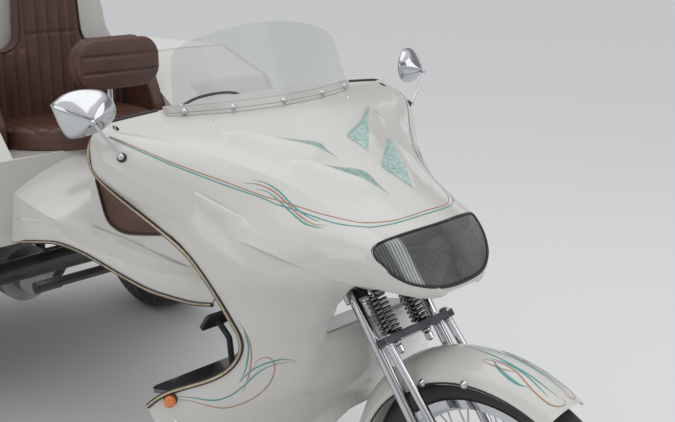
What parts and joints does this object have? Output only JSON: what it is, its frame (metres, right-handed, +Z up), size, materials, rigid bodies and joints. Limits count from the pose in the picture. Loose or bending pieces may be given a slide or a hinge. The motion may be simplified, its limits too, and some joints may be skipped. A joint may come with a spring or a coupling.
{
  "type": "motor trike",
  "caption": "Rear-engined motor trike with a springer front fork, fibreglass fairing and leg shields, and a tub body with seats for a rider and a passenger.",
  "frame": {"origin": "on the ground under the middle of the vehicle's box", "axes": "+X forward, +Y to the rider's left, +Z up"},
  "size_m": [3.4549, 1.73, 1.4998],
  "materials": {
    "shell": "gloss cream fibreglass",
    "black": "gloss black",
    "clear_glass": "ribbed clear",
    "clear_screen": "clear, faintly grey",
    "chrome": "polished",
    "dark_steel": "black enamel",
    "alloy": "cast, satin",
    "tyre": "matt black",
    "rubber": "matt black",
    "vinyl": "dark brown, soft sheen",
    "amber": "clear amber",
    "red": "clear red"
  },
  "bodies": {
    "chassis": {"fairing_hood": "shell", "leg_shield": "shell", "headlamp_bowl": "black", "headlamp_lens": "clear_glass", "windshield": "clear_screen", "screen_rim": "shell", "mirrors": "chrome", "frame": "dark_steel", "rear_axle": "dark_steel", "spine": "shell", "tub": "shell", "seat_shell": "shell", "pod_right": "shell", "pod_left": "shell", "driver_seat": "vinyl", "driver_backrest": "vinyl", "backrest_post": "chrome", "passenger_cushion": "vinyl", "passenger_backrest": "vinyl", "seat_wings": "vinyl", "ledge_cap": "chrome", "passenger_pegs": "dark_steel", "footboards": "black", "foot_pedals": "rubber", "turn_lamps": "amber", "tail_lamps": "red", "gearbox": "alloy", "engine_case": "alloy", "cylinder_banks": "alloy", "fan_shroud": "black", "exhaust": "chrome", "bumper": "chrome"},
    "steering": {"fork_main": "chrome", "fork_slim_legs": "chrome", "fork_springs": "dark_steel", "fork_links": "chrome", "front_axle": "chrome", "front_fender": "shell", "handlebar": "chrome", "bar_grips": "rubber", "bar_levers": "chrome", "instrument": "chrome"},
    "front_wheel": {"front_rim": "chrome", "front_tyre": "tyre"},
    "rear_wheel_right": {"rear_rim_right": "alloy", "rear_tyre_right": "tyre"},
    "rear_wheel_left": {"rear_rim_left": "alloy", "rear_tyre_left": "tyre"}
  },
  "joints": [
    {"name": "steering_head", "type": "hinge", "parent": "chassis", "child": "steering", "pos_m": [0.975, 0, 0.792], "axis": [-0.6129, 0, 0.7902], "range_deg": [-28, 28]},
    {"name": "front_wheel_spin", "type": "hinge", "parent": "steering", "child": "front_wheel", "pos_m": [1.385, 0, 0.345], "axis": [0, 1, 0], "continuous": true},
    {"name": "rear_wheel_right_spin", "type": "hinge", "parent": "chassis", "child": "rear_wheel_right", "pos_m": [-0.9, -0.69, 0.34], "axis": [0, 1, 0], "continuous": true},
    {"name": "rear_wheel_left_spin", "type": "hinge", "parent": "chassis", "child": "rear_wheel_left", "pos_m": [-0.9, 0.69, 0.34], "axis": [0, 1, 0], "continuous": true}
  ]
}
